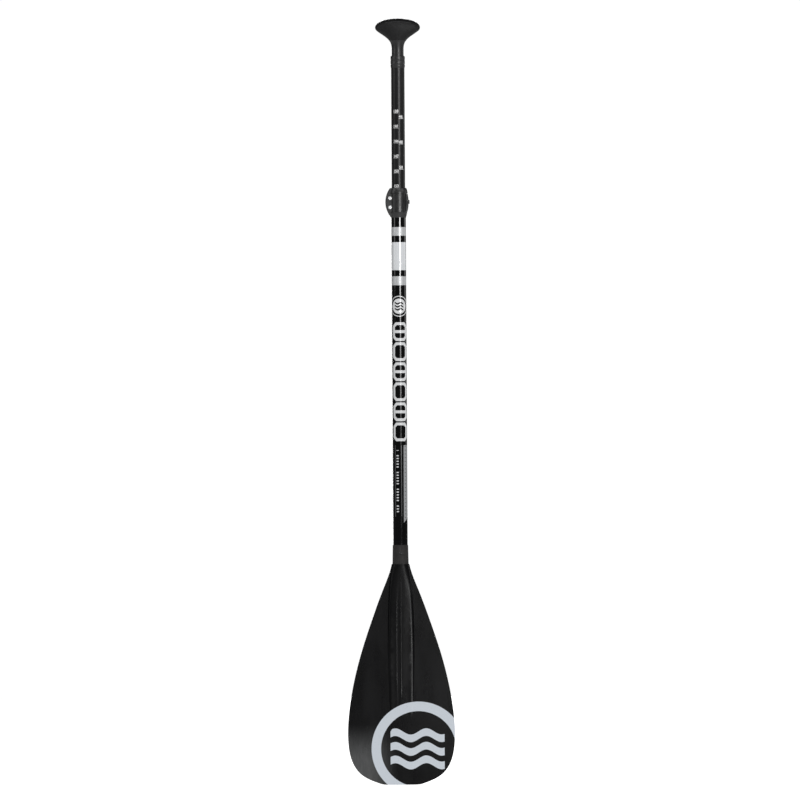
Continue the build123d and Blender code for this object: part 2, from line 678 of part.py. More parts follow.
def grip_levels():
    """Height, half width and half depth of level sections, from the neck over the dome."""
    levels = [(FERRULE_TOP, NECK_SIZE, NECK_SIZE)]
    for step in range(FLARE_STEPS):
        part = step / FLARE_STEPS
        height = FLARE_START + part * (PALM_HEIGHT - FLARE_START)
        half_width = NECK_SIZE + (PALM_HALF_WIDTH - NECK_SIZE) * sin(pi / 2.0 * part**WIDTH_EASE) ** 2
        half_depth = NECK_SIZE + (PALM_HALF_DEPTH - NECK_SIZE) * sin(pi / 2.0 * part**DEPTH_EASE) ** 2
        levels.append((height, half_width, half_depth))
    for step in range(DOME_STEPS + 1):
        rise = sin(radians(DOME_LAST_TURN * step / DOME_STEPS))
        height = PALM_HEIGHT + rise * (GRIP_TOP - PALM_HEIGHT)
        spread = (1.0 - rise**DOME_BLUNTNESS) ** 0.5
        levels.append((height, PALM_HALF_WIDTH * spread, PALM_HALF_DEPTH * spread))
    return levels


COVER_LOW = 1489.0  # the soft cover starts here
COVER_WALL = 2.6
CROWN_RADIUS = 180.0  # curve of the joint under the top cap
CROWN_TOP = 1525.5
DRUM_HALF_LENGTH = 40.0
SLAB_SIZE = (120.0, 60.0)
CAP_BELOW = 10.0  # the cap is cut from a slab that reaches this far below the joint
CAP_ABOVE = 20.0
STEM_LOW = 1385.0
STEM_HOLLOW = 8.5
STEM_HOLLOW_DEPTH = 54.0


def grip_form(levels, shrink):
    """Solid through level ellipses, made smaller all round by a shrinkage."""
    with BuildPart() as form:
        for height, half_width, half_depth in levels:
            with BuildSketch(Plane.XY.offset(up(height))):
                Ellipse(half_width - shrink, half_depth - shrink)
        loft()
    return form


def crown_drum(radius):
    """Wide drum lying across the grip: its top is a shallow curve from side to side."""
    with BuildPart() as drum:
        with BuildSketch(Plane.XZ):
            with Locations((0.0, up(CROWN_TOP - CROWN_RADIUS))):
                Circle(radius)
        extrude(amount=DRUM_HALF_LENGTH, both=True)
    return drum


def slab(low, high):
    """Block wide enough to cover the grip between two heights."""
    with BuildPart() as block:
        with BuildSketch(Plane.XY.offset(up(low))):
            Rectangle(*SLAB_SIZE)
        extrude(amount=high - low)
    return block


whole_grip = grip_form(grip_levels(), 0.0)
inner_grip = grip_form(grip_levels()[INNER_LEVELS], COVER_WALL)

with BuildPart() as grip_core:
    add(inner_grip.part)
    add(crown_drum(CROWN_RADIUS - COVER_WALL).part, mode=Mode.INTERSECT)
    add(whole_grip.part.intersect(slab(FERRULE_TOP, COVER_LOW).part))
    with BuildSketch(Plane.XY.offset(up(STEM_LOW))):
        Circle(STEM_RADIUS)
    extrude(amount=FERRULE_TOP - STEM_LOW)
    with BuildSketch(Plane.XY.offset(up(STEM_LOW))):
        Circle(STEM_HOLLOW)
    extrude(amount=STEM_HOLLOW_DEPTH, mode=Mode.SUBTRACT)
    with BuildSketch(Plane.YZ):
        with Locations((0.0, up(PIN_HEIGHT))):
            Circle(PIN_HOLE)
    extrude(amount=2.0 * STEM_RADIUS, both=True, mode=Mode.SUBTRACT)
grip_core.part.label = "grip_core"
export_step(grip_core.part, "parts/grip_core.step")

with BuildPart() as grip_cover:
    add(whole_grip.part)
    add(slab(COVER_LOW, CROWN_TOP).part, mode=Mode.INTERSECT)
    add(crown_drum(CROWN_RADIUS).part, mode=Mode.INTERSECT)
    add(grip_core.part, mode=Mode.SUBTRACT)
grip_cover.part.label = "grip_cover"
export_step(grip_cover.part, "parts/grip_cover.step")

with BuildPart() as grip_cap:
    add(whole_grip.part)
    add(slab(CROWN_TOP - CAP_BELOW, CROWN_TOP + CAP_ABOVE).part, mode=Mode.INTERSECT)
    add(crown_drum(CROWN_RADIUS).part, mode=Mode.SUBTRACT)
grip_cap.part.label = "grip_cap"
export_step(grip_cap.part, "parts/grip_cap.step")
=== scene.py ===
import math

import bpy
from mathutils import Matrix, Vector


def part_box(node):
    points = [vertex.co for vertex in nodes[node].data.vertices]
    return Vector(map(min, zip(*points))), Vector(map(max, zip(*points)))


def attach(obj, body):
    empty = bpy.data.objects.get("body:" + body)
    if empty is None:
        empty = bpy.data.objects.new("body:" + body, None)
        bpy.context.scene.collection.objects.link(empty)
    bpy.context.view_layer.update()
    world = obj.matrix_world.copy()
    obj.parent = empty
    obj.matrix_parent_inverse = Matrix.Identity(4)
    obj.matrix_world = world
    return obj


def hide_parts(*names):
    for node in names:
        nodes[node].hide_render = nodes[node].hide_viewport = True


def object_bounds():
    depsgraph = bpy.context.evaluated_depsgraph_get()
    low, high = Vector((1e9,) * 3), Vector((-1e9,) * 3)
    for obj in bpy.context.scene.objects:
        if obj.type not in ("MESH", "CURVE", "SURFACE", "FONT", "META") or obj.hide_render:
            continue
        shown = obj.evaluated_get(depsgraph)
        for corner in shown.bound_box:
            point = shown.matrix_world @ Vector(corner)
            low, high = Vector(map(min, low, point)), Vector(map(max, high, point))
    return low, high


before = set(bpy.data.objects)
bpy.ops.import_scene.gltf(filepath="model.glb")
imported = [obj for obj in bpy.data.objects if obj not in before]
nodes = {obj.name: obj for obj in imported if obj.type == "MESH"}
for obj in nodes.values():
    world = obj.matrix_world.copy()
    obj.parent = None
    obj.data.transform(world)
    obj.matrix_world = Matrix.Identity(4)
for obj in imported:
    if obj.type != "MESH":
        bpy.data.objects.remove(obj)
cad_box = [list(corner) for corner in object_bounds()]
bpy.ops.object.select_all(action="DESELECT")


# ------------------------------------------------------------------ blade
# One injection moulding of glass-filled black nylon: a teardrop panel with a broad spine and a
# slim bead on its crest. A pale ring with three waves is pad-printed low on the front face.
def new_finish(name):
    """A new material: returns it with its node tree and its shader."""
    finish = bpy.data.materials.new(name)
    finish.use_nodes = True
    tree = finish.node_tree
    return finish, tree, tree.nodes["Principled BSDF"]


def calc(tree, operation, *values):
    """Math node on sockets or plain numbers; returns what it works out."""
    node = tree.nodes.new("ShaderNodeMath")
    node.operation = operation
    for socket, value in zip(node.inputs, values):
        if isinstance(value, (int, float)):
            socket.default_value = value
        else:
            tree.links.new(value, socket)
    return node.outputs[0]


def ramp(tree, value, low, high, out_low=0.0, out_high=1.0):
    """Value turned smoothly from out_low to out_high as it passes from low to high."""
    node = tree.nodes.new("ShaderNodeMapRange")
    node.interpolation_type = "SMOOTHSTEP"
    tree.links.new(value, node.inputs["Value"])
    node.inputs["From Min"].default_value = low
    node.inputs["From Max"].default_value = high
    node.inputs["To Min"].default_value = out_low
    node.inputs["To Max"].default_value = out_high
    return node.outputs["Result"]


def between(tree, value, low, high, soft=0.0003):
    """Mask that is 1 between two levels of a value, with a soft edge."""
    rise = ramp(tree, value, low - soft / 2.0, low + soft / 2.0)
    fall = ramp(tree, value, high - soft / 2.0, high + soft / 2.0, 1.0, 0.0)
    return calc(tree, "MULTIPLY", rise, fall)


def place(tree):
    """Sockets of X, Y and Z on the piece, in metres."""
    where = tree.nodes.new("ShaderNodeTexCoord")
    split = tree.nodes.new("ShaderNodeSeparateXYZ")
    tree.links.new(where.outputs["Object"], split.inputs[0])
    return split.outputs[0], split.outputs[1], split.outputs[2]


def facing(tree):
    """Sockets of the X, Y and Z parts of the direction the surface faces."""
    where = tree.nodes.new("ShaderNodeTexCoord")
    split = tree.nodes.new("ShaderNodeSeparateXYZ")
    tree.links.new(where.outputs["Normal"], split.inputs[0])
    return split.outputs[0], split.outputs[1], split.outputs[2]


def mottle(tree, scale, stretch=(1.0, 1.0, 1.0), detail=3.0, roughness=0.5):
    """Noise of about 0 to 1 on the piece; scale is in spots per metre."""
    where = tree.nodes.new("ShaderNodeTexCoord")
    mapping = tree.nodes.new("ShaderNodeMapping")
    mapping.inputs["Scale"].default_value = stretch
    noise = tree.nodes.new("ShaderNodeTexNoise")
    noise.inputs["Scale"].default_value = scale
    noise.inputs["Detail"].default_value = detail
    noise.inputs["Roughness"].default_value = roughness
    tree.links.new(where.outputs["Object"], mapping.inputs["Vector"])
    tree.links.new(mapping.outputs["Vector"], noise.inputs["Vector"])
    return noise.outputs["Fac"]


def blend_colour(tree, factor, first, second):
    """Colour between two colours or sockets, by a factor."""
    node = tree.nodes.new("ShaderNodeMix")
    node.data_type = "RGBA"
    tree.links.new(factor, node.inputs["Factor"])
    for socket, value in ((node.inputs[6], first), (node.inputs[7], second)):
        if isinstance(value, tuple):
            socket.default_value = (*value, 1.0)
        else:
            tree.links.new(value, socket)
    return node.outputs[2]


def blend_number(tree, factor, first, second):
    """Number between two numbers or sockets, by a factor."""
    node = tree.nodes.new("ShaderNodeMix")
    tree.links.new(factor, node.inputs["Factor"])
    for socket, value in ((node.inputs[2], first), (node.inputs[3], second)):
        if isinstance(value, (int, float)):
            socket.default_value = value
        else:
            tree.links.new(value, socket)
    return node.outputs[0]


def relief(tree, shader, height, depth, strength=1.0):
    """Gives the shader a fine relief: height is a socket, depth its size in metres."""
    bump = tree.nodes.new("ShaderNodeBump")
    bump.inputs["Distance"].default_value = depth
    bump.inputs["Strength"].default_value = strength
    tree.links.new(height, bump.inputs["Height"])
    tree.links.new(bump.outputs["Normal"], shader.inputs["Normal"])
    return bump


def worn_edges(tree, radius, low=0.04, high=0.22):
    """Mask of the outer edges of a piece, broken up so that they look rubbed."""
    rounded = tree.nodes.new("ShaderNodeBevel")
    rounded.inputs["Radius"].default_value = radius
    flat = tree.nodes.new("ShaderNodeNewGeometry")
    compare = tree.nodes.new("ShaderNodeVectorMath")
    compare.operation = "DOT_PRODUCT"
    tree.links.new(rounded.outputs["Normal"], compare.inputs[0])
    tree.links.new(flat.outputs["Normal"], compare.inputs[1])
    turned = calc(tree, "SUBTRACT", 1.0, compare.outputs["Value"])
    edge = ramp(tree, turned, low, high)
    rubbed = ramp(tree, mottle(tree, 260.0, detail=4.0), 0.42, 0.62)
    return calc(tree, "MULTIPLY", edge, rubbed)


def multiply(tree, first, *others):
    """Product of sockets or plain numbers, from left to right."""
    for other in others:
        first = calc(tree, "MULTIPLY", first, other)
    return first


def distance(tree, across, along):
    """Distance from the point where both sockets are 0."""
    square = calc(tree, "MULTIPLY", across, across)
    square = calc(tree, "ADD", square, calc(tree, "MULTIPLY", along, along))
    return calc(tree, "SQRT", square)


def waves(tree, across, along, length, swing, pitch, share, soft):
    """Mask of wavy stripes, and the height above their middle followed along the wave."""
    sway = calc(tree, "SINE", calc(tree, "MULTIPLY", across, 2.0 * math.pi / length))
    level = calc(tree, "SUBTRACT", along, calc(tree, "MULTIPLY", sway, swing))
    step = calc(tree, "FRACT", calc(tree, "ADD", calc(tree, "DIVIDE", level, pitch), 0.5))
    return between(tree, step, 0.5 - share / 2.0, 0.5 + share / 2.0, soft), level


def set_colour(tree, shader, colour):
    """Gives the shader a colour socket."""
    tree.links.new(colour, shader.inputs["Base Color"])


def set_roughness(tree, shader, noise, low, high):
    """Roughness from low to high over the middle of a noise."""
    tree.links.new(ramp(tree, noise, 0.3, 0.7, low, high), shader.inputs["Roughness"])


def wear(node, finish):
    """Puts a finish on a CAD node."""
    nodes[node].data.materials.clear()
    nodes[node].data.materials.append(finish)


RING_CENTRE = (0.034, -0.729)
RING_INSIDE = 0.075
RING_OUTSIDE = 0.094
WAVE_PITCH = 0.027
WAVE_COUNT = 3
WAVE_SHARE = 0.56  # share of the pitch that is printed
WAVE_SWING = 0.0062
WAVE_LENGTH = 0.062
WAVE_SIDES = (-0.056, 0.052)  # ends of the waves, from the middle of the ring
WAVE_REACH = 0.066  # the waves stop this far from the middle of the ring
PRINT_EDGE = 0.0005  # softness of the edge of the print
PRINT_GREY = (0.66, 0.71, 0.77)
PRINT_ROUGHNESS = 0.42
SHEEN_TOP = (-0.755, -0.675)  # heights over which the painted sheen on the low left corner fades out
SHEEN_SIDE = (-0.075, 0.0)
EDGE_RADIUS = 0.0016

blade_nylon, tree, shader = new_finish("blade_nylon")
x, y, z = place(tree)
across = calc(tree, "SUBTRACT", x, RING_CENTRE[0])
along = calc(tree, "SUBTRACT", z, RING_CENTRE[1])
from_centre = distance(tree, across, along)
ring = between(tree, from_centre, RING_INSIDE, RING_OUTSIDE, PRINT_EDGE)
wave, level = waves(tree, across, along, WAVE_LENGTH, WAVE_SWING, WAVE_PITCH, WAVE_SHARE, 0.02)
half_stack = WAVE_COUNT * WAVE_PITCH / 2.0
in_stack = between(tree, level, -half_stack, half_stack, PRINT_EDGE)
in_sides = between(tree, across, *WAVE_SIDES, PRINT_EDGE)
in_reach = ramp(tree, from_centre, WAVE_REACH - PRINT_EDGE, WAVE_REACH, 1.0, 0.0)
wave = multiply(tree, wave, in_stack, in_sides, in_reach)
front = ramp(tree, facing(tree)[1], -0.3, -0.2, 1.0, 0.0)
printed = calc(tree, "MULTIPLY", calc(tree, "MAXIMUM", ring, wave), front)
ink_wear = ramp(tree, mottle(tree, 420.0, detail=5.0, roughness=0.7), 0.3, 0.42, 0.8, 1.0)
printed = calc(tree, "MULTIPLY", printed, ink_wear)
tone = ramp(tree, mottle(tree, 22.0, (1.0, 1.0, 0.35), 4.0), 0.3, 0.7)
colour = blend_colour(tree, tone, (0.0032, 0.0032, 0.0035), (0.0058, 0.0058, 0.0064))
scuffs = ramp(tree, mottle(tree, 60.0, (6.0, 6.0, 0.5), 6.0, 0.65), 0.62, 0.74)
colour = blend_colour(tree, scuffs, colour, (0.016, 0.016, 0.017))
# Painted sheen: a streaked lighter grey patch on the lower left of the blade stands in for the
# reflection of the studio light there.
low = ramp(tree, z, *SHEEN_TOP, 1.0, 0.0)
painted_sheen = multiply(tree, low, ramp(tree, x, *SHEEN_SIDE, 1.0, 0.0))
sheen_streaks = ramp(tree, mottle(tree, 90.0, (2.2, 1.0, 0.35), 5.0, 0.7), 0.3, 0.7, 0.75, 1.0)
painted_sheen = calc(tree, "MULTIPLY", painted_sheen, sheen_streaks)
colour = blend_colour(tree, painted_sheen, colour, (0.108, 0.11, 0.111))
edges = worn_edges(tree, EDGE_RADIUS, 0.12, 0.3)
colour = blend_colour(tree, edges, colour, (0.05, 0.05, 0.052))
set_colour(tree, shader, blend_colour(tree, printed, colour, PRINT_GREY))
shader.inputs["Specular IOR Level"].default_value = 0.17
rough = ramp(tree, mottle(tree, 35.0, (1.0, 1.0, 0.3), 4.0), 0.3, 0.7, 0.26, 0.34)
rough = blend_number(tree, printed, rough, PRINT_ROUGHNESS)
tree.links.new(rough, shader.inputs["Roughness"])
pores = mottle(tree, 1500.0, detail=2.0)
grain = calc(tree, "ADD", pores, calc(tree, "MULTIPLY", mottle(tree, 180.0), 1.4))
grain = calc(tree, "ADD", grain, calc(tree, "MULTIPLY", printed, 0.8))
relief(tree, shader, grain, 0.00006, 0.55)
wear("blade", blade_nylon)


# ------------------------------------------------------------------ neck sleeve
# A matte heat-shrunk sleeve over the joint of tube and blade: slightly brownish black rubber
# with faint wrinkles round it.
sleeve_rubber, tree, shader = new_finish("sleeve_rubber")
tone = ramp(tree, mottle(tree, 90.0, detail=4.0), 0.3, 0.7)
colour = blend_colour(tree, tone, (0.0125, 0.011, 0.0105), (0.02, 0.018, 0.0172))
colour = blend_colour(tree, worn_edges(tree, 0.0008), colour, (0.07, 0.066, 0.063))
set_colour(tree, shader, colour)
set_roughness(tree, shader, mottle(tree, 200.0), 0.62, 0.78)
wrinkles = mottle(tree, 160.0, (0.35, 0.35, 1.6), 3.0)
relief(tree, shader, calc(tree, "ADD", wrinkles, mottle(tree, 2200.0, detail=1.0)), 0.0001, 0.7)
wear("neck_sleeve", sleeve_rubber)


# ------------------------------------------------------------------ neck rivets
# Two black coated blind rivets, front and back, set through sleeve, tube and spigot, with rims
# rubbed to bare metal. The cross pin of the grip has the same finish.
dark_rivet, tree, shader = new_finish("dark_rivet")
rubbed = worn_edges(tree, 0.0006)
colour = blend_colour(tree, mottle(tree, 900.0), (0.014, 0.014, 0.015), (0.03, 0.03, 0.031))
set_colour(tree, shader, blend_colour(tree, rubbed, colour, (0.34, 0.34, 0.35)))
tree.links.new(calc(tree, "MULTIPLY", rubbed, 0.9), shader.inputs["Metallic"])
set_roughness(tree, shader, mottle(tree, 1400.0), 0.22, 0.4)
relief(tree, shader, mottle(tree, 2600.0), 0.00002)
wear("neck_rivets", dark_rivet)
wear("grip_pin", dark_rivet)


# ------------------------------------------------------------------ lower tube
# Drawn aluminium tube in gloss black lacquer. Under the lacquer are printed silver and pale
# bands, a round badge with waves, a column of outlined links and a small marked panel.
TUBE_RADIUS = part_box("lower_shaft")[1].x
SILVER_BANDS = ((0.2976, 0.3148), (0.1984, 0.2163))
PALE_BAND = (0.2285, 0.2846)
TUBE_PRINT_EDGE = 0.0002  # softness of the edges of the small prints
BADGE_HEIGHT = 0.1563
BADGE_RING = (0.0192, 0.0208)
BADGE_DISC = 0.0152
BADGE_WAVE_LENGTH = 0.0125
BADGE_WAVE_SWING = 0.0013
BADGE_WAVE_PITCH = 0.006
BADGE_WAVE_SHARE = 0.52
BADGE_WAVE_REACH = (0.0094, 0.009)  # half the width and half the height of the waves
LINKS = (-0.1154, 0.1256)
LINK_COUNT = 6
LINK_SIDE = 0.0019  # the column sits a little to the right of the middle
LINK_HALF_WIDTH = 0.0168
LINK_GAP = 0.0014
LINK_CORNER = 0.0075
LINK_STROKE = 0.0056
LINK_BAR = 0.0028  # half the height of the bar across every second link
PANEL = (-0.265, -0.122)
RULES = ((-0.0103, -0.0098), (0.003, 0.0035))
MARK_PITCH = 0.0056
MARK_SHARE = (0.25, 0.65)  # part of the pitch that is printed
MARK_SIDES = (-0.0072, -0.0026)
MARKS = (-0.258, -0.132)
MARKS_PER_GROUP = 6
GROUP_SHARE = 0.84  # part of a group that is printed; the rest is the gap to the next
RULE_STRENGTH = 0.4
STRIP_FOOT = -0.29
STRIP_SIDES = (0.0078, 0.0225)
STRIP_CUT = (-0.2765, -0.2762)  # where the slanting lower end meets the inner side
STRIP_CORNER = 0.0087
STRIP_SLANT = 0.9
TICK_PITCH = 0.0075
TICK_SHARE = (0.3, 0.5)  # part of the pitch that is a tick
TICK_SIDES = (0.0105, 0.0135)
TICK_STRENGTH = 0.8

gloss_lacquer, tree, shader = new_finish("gloss_lacquer")
x, y, z = place(tree)
angle = calc(tree, "ARCTAN2", x, calc(tree, "MULTIPLY", y, -1.0))
around = calc(tree, "MULTIPLY", angle, TUBE_RADIUS)

silver = calc(tree, "ADD", between(tree, z, *SILVER_BANDS[0]), between(tree, z, *SILVER_BANDS[1]))
pale = between(tree, z, *PALE_BAND)

above = calc(tree, "SUBTRACT", z, BADGE_HEIGHT)
from_centre = distance(tree, around, above)
half_edge = TUBE_PRINT_EDGE / 2.0
badge_ring = between(tree, from_centre, *BADGE_RING, TUBE_PRINT_EDGE)
badge_disc = ramp(tree, from_centre, BADGE_DISC - half_edge, BADGE_DISC + half_edge, 1.0, 0.0)
swell = (BADGE_WAVE_LENGTH, BADGE_WAVE_SWING, BADGE_WAVE_PITCH, BADGE_WAVE_SHARE)
badge_wave, level = waves(tree, around, above, *swell, 0.04)
reach_side, reach_up = BADGE_WAVE_REACH
in_stack = between(tree, level, -reach_up, reach_up, half_edge)
in_sides = between(tree, around, -reach_side, reach_side, half_edge)
badge_disc = calc(tree, "SUBTRACT", badge_disc, multiply(tree, badge_wave, in_stack, in_sides))

unit = (LINKS[1] - LINKS[0]) / LINK_COUNT
run = calc(tree, "DIVIDE", calc(tree, "SUBTRACT", z, LINKS[0]), unit)
in_unit = calc(tree, "MULTIPLY", calc(tree, "SUBTRACT", calc(tree, "FRACT", run), 0.5), unit)
high = calc(tree, "ABSOLUTE", in_unit)
wide = calc(tree, "ABSOLUTE", calc(tree, "SUBTRACT", around, LINK_SIDE))
over_side = calc(tree, "SUBTRACT", wide, LINK_HALF_WIDTH)
over_end = calc(tree, "SUBTRACT", high, unit / 2.0 - LINK_GAP)
corner_reach = LINK_HALF_WIDTH + unit / 2.0 - LINK_GAP - LINK_CORNER
past_corner = calc(tree, "SUBTRACT", calc(tree, "ADD", wide, high), corner_reach)
over_corner = calc(tree, "MULTIPLY", past_corner, math.sqrt(0.5))
outside = calc(tree, "MAXIMUM", calc(tree, "MAXIMUM", over_side, over_end), over_corner)
link = between(tree, outside, -LINK_STROKE, 0.0)
odd = calc(tree, "GREATER_THAN", calc(tree, "FRACT", calc(tree, "MULTIPLY", run, 0.5)), 0.5)
bar = between(tree, in_unit, -LINK_BAR, LINK_BAR)
bar = multiply(tree, bar, ramp(tree, outside, -half_edge, half_edge, 1.0, 0.0), odd)
link = calc(tree, "MAXIMUM", link, bar)
link = calc(tree, "MULTIPLY", link, between(tree, z, *LINKS))

in_panel = between(tree, z, *PANEL)
left_rule = between(tree, around, *RULES[0], TUBE_PRINT_EDGE)
rules = calc(tree, "ADD", left_rule, between(tree, around, *RULES[1], TUBE_PRINT_EDGE))
mark_row = calc(tree, "FRACT", calc(tree, "DIVIDE", z, MARK_PITCH))
group = calc(tree, "FRACT", calc(tree, "DIVIDE", z, MARK_PITCH * MARKS_PER_GROUP))
marks = between(tree, mark_row, *MARK_SHARE, 0.05)
mark_sides = between(tree, around, *MARK_SIDES, TUBE_PRINT_EDGE)
in_group = between(tree, group, 0.0, GROUP_SHARE, 0.01)
marks = multiply(tree, marks, mark_sides, between(tree, z, *MARKS), in_group)
panel_lines = calc(tree, "ADD", calc(tree, "MULTIPLY", rules, RULE_STRENGTH), marks)
panel_lines = calc(tree, "MULTIPLY", panel_lines, in_panel)
slant = calc(tree, "MULTIPLY", calc(tree, "SUBTRACT", around, STRIP_CORNER), -STRIP_SLANT)
cut = calc(tree, "ADD", z, slant)
strip = multiply(tree, between(tree, around, *STRIP_SIDES), between(tree, z, STRIP_FOOT, PANEL[1]))
strip = calc(tree, "MULTIPLY", strip, ramp(tree, cut, *STRIP_CUT))
tick_row = calc(tree, "FRACT", calc(tree, "DIVIDE", z, TICK_PITCH))
ticks = between(tree, tick_row, *TICK_SHARE, 0.04)
ticks = multiply(tree, ticks, between(tree, around, *TICK_SIDES, TUBE_PRINT_EDGE), TICK_STRENGTH)
strip = calc(tree, "MULTIPLY", strip, calc(tree, "SUBTRACT", 1.0, ticks))

white = calc(tree, "MAXIMUM", badge_ring, badge_disc)
white = calc(tree, "MAXIMUM", white, calc(tree, "MAXIMUM", link, panel_lines))
tone = ramp(tree, mottle(tree, 30.0, (1.0, 1.0, 0.3)), 0.3, 0.7)
colour = blend_colour(tree, tone, (0.0012, 0.0012, 0.0014), (0.0024, 0.0024, 0.0026))
colour = blend_colour(tree, white, colour, (0.8, 0.81, 0.82))
colour = blend_colour(tree, calc(tree, "MULTIPLY", strip, 0.9), colour, (0.42, 0.43, 0.44))
colour = blend_colour(tree, pale, colour, (0.76, 0.78, 0.8))
speckle = mottle(tree, 3800.0, detail=1.0)
speckle = ramp(tree, speckle, 0.35, 0.65)
foil = blend_colour(tree, speckle, (0.6, 0.61, 0.62), (0.76, 0.77, 0.78))
colour = blend_colour(tree, silver, colour, foil)
set_colour(tree, shader, colour)
tree.links.new(calc(tree, "MULTIPLY", silver, 0.55), shader.inputs["Metallic"])
hazy = ramp(tree, mottle(tree, 40.0, (1.0, 1.0, 0.4), 5.0, 0.6), 0.35, 0.75, 0.08, 0.13)
tree.links.new(blend_number(tree, silver, hazy, 0.5), shader.inputs["Roughness"])
shader.inputs["Coat Weight"].default_value = 0.6
shader.inputs["Coat Roughness"].default_value = 0.05
shader.inputs["Coat IOR"].default_value = 1.5
orange_peel = mottle(tree, 420.0, (1.0, 1.0, 0.5), 2.0)
scratches = ramp(tree, mottle(tree, 900.0, (1.0, 1.0, 0.03), 3.0, 0.6), 0.66, 0.76)
printing = calc(tree, "MAXIMUM", white, calc(tree, "MAXIMUM", pale, silver))
surface = calc(tree, "MULTIPLY", orange_peel, 0.5)
surface = calc(tree, "SUBTRACT", surface, calc(tree, "MULTIPLY", scratches, 0.2))
surface = calc(tree, "ADD", surface, calc(tree, "MULTIPLY", printing, 0.3))
relief(tree, shader, surface, 0.00001, 0.35)
wear("lower_shaft", gloss_lacquer)


# ------------------------------------------------------------------ foam floats
# Closed-cell foam plugs pushed into both tubes so that the paddle floats, cut from pale foam with
# open cells at the cut ends.
float_foam, tree, shader = new_finish("float_foam")
cells = tree.nodes.new("ShaderNodeTexVoronoi")
cells.inputs["Scale"].default_value = 700.0
where = tree.nodes.new("ShaderNodeTexCoord")
tree.links.new(where.outputs["Object"], cells.inputs["Vector"])
tone = ramp(tree, mottle(tree, 60.0), 0.3, 0.7)
colour = blend_colour(tree, tone, (0.62, 0.61, 0.57), (0.72, 0.71, 0.67))
set_colour(tree, shader, colour)
tree.links.new(ramp(tree, cells.outputs["Distance"], 0.0, 0.8, 0.95, 0.75), shader.inputs["Roughness"])
relief(tree, shader, cells.outputs["Distance"], 0.0004)
wear("shaft_float", float_foam)
wear("extension_float", float_foam)


# ------------------------------------------------------------------ clamp collar
# Split collar moulded in satin black nylon, slid over the top of the lower tube; a rubber
# wiper ring sits under its lip.
clamp_nylon, tree, shader = new_finish("clamp_nylon")
tone = ramp(tree, mottle(tree, 110.0, detail=4.0), 0.3, 0.7)
colour = blend_colour(tree, tone, (0.0115, 0.0115, 0.012), (0.018, 0.018, 0.019))
colour = blend_colour(tree, worn_edges(tree, 0.0008), colour, (0.085, 0.085, 0.088))
set_colour(tree, shader, colour)
shader.inputs["Specular IOR Level"].default_value = 0.65
set_roughness(tree, shader, mottle(tree, 160.0, detail=4.0), 0.3, 0.4)
spark = calc(tree, "ADD", mottle(tree, 2600.0, detail=2.0), mottle(tree, 700.0))
relief(tree, shader, spark, 0.00004, 0.6)
wear("clamp_collar", clamp_nylon)

wiper_rubber, tree, shader = new_finish("wiper_rubber")
colour = blend_colour(tree, mottle(tree, 400.0), (0.016, 0.016, 0.016), (0.03, 0.03, 0.03))
set_colour(tree, shader, colour)
set_roughness(tree, shader, mottle(tree, 900.0), 0.6, 0.8)
relief(tree, shader, mottle(tree, 2400.0), 0.00005)
wear("wiper_ring", wiper_rubber)


# ------------------------------------------------------------------ clamp screws
# Two M4 button-head screws of bright stainless steel with a hexagon socket, screwed through the
# ears of the collar into the cross nut.
stainless, tree, shader = new_finish("stainless")
shader.inputs["Metallic"].default_value = 1.0
tone = ramp(tree, mottle(tree, 900.0, detail=4.0), 0.3, 0.7)
set_colour(tree, shader, blend_colour(tree, tone, (0.84, 0.85, 0.86), (0.94, 0.94, 0.94)))
set_roughness(tree, shader, mottle(tree, 1800.0, detail=4.0), 0.36, 0.46)
relief(tree, shader, mottle(tree, 3200.0), 0.00001)
wear("clamp_screws", stainless)


# ------------------------------------------------------------------ cam plate and axle
# Turned and stamped stainless steel: the plate that the cam presses on and the cross nut that
# the screws thread into.
turned_steel, tree, shader = new_finish("turned_steel")
shader.inputs["Metallic"].default_value = 1.0
turning = mottle(tree, 700.0, (0.15, 0.15, 2.4), 2.0)
colour = blend_colour(tree, ramp(tree, turning, 0.3, 0.7), (0.42, 0.42, 0.43), (0.58, 0.58, 0.59))
set_colour(tree, shader, colour)
set_roughness(tree, shader, turning, 0.26, 0.42)
relief(tree, shader, turning, 0.00002)
wear("cam_pad", turned_steel)
wear("lever_axle", turned_steel)


# ------------------------------------------------------------------ clamp lever
# Cam lever moulded in the same nylon, a shade lighter. It wraps round the back of the collar and
# turns on the cross nut.
lever_nylon, tree, shader = new_finish("lever_nylon")
tone = ramp(tree, mottle(tree, 120.0, detail=4.0), 0.3, 0.7)
colour = blend_colour(tree, tone, (0.04, 0.04, 0.041), (0.054, 0.054, 0.056))
colour = blend_colour(tree, worn_edges(tree, 0.0008), colour, (0.1, 0.1, 0.104))
set_colour(tree, shader, colour)
set_roughness(tree, shader, mottle(tree, 160.0, detail=4.0), 0.34, 0.46)
spark = calc(tree, "ADD", mottle(tree, 2600.0, detail=2.0), mottle(tree, 700.0))
relief(tree, shader, spark, 0.00004, 0.6)
wear("clamp_lever", lever_nylon)


# ------------------------------------------------------------------ extension tube
# Drawn aluminium tube, satin black anodised, with fine drawing lines along it. It slides in the
# lower tube and the clamp holds it.
satin_anodised, tree, shader = new_finish("satin_anodised")
tone = ramp(tree, mottle(tree, 26.0, (1.0, 1.0, 0.3), 4.0), 0.3, 0.7)
colour = blend_colour(tree, tone, (0.008, 0.008, 0.0085), (0.0125, 0.0125, 0.013))
drawn = mottle(tree, 1700.0, (1.0, 1.0, 0.012), 3.0)
rubs = ramp(tree, mottle(tree, 500.0, (1.0, 1.0, 0.05), 5.0, 0.7), 0.63, 0.75)
colour = blend_colour(tree, calc(tree, "MULTIPLY", rubs, 0.5), colour, (0.07, 0.07, 0.072))
set_colour(tree, shader, colour)
shader.inputs["Specular IOR Level"].default_value = 0.3
set_roughness(tree, shader, drawn, 0.28, 0.36)
relief(tree, shader, drawn, 0.000015, 0.8)
wear("extension_tube", satin_anodised)


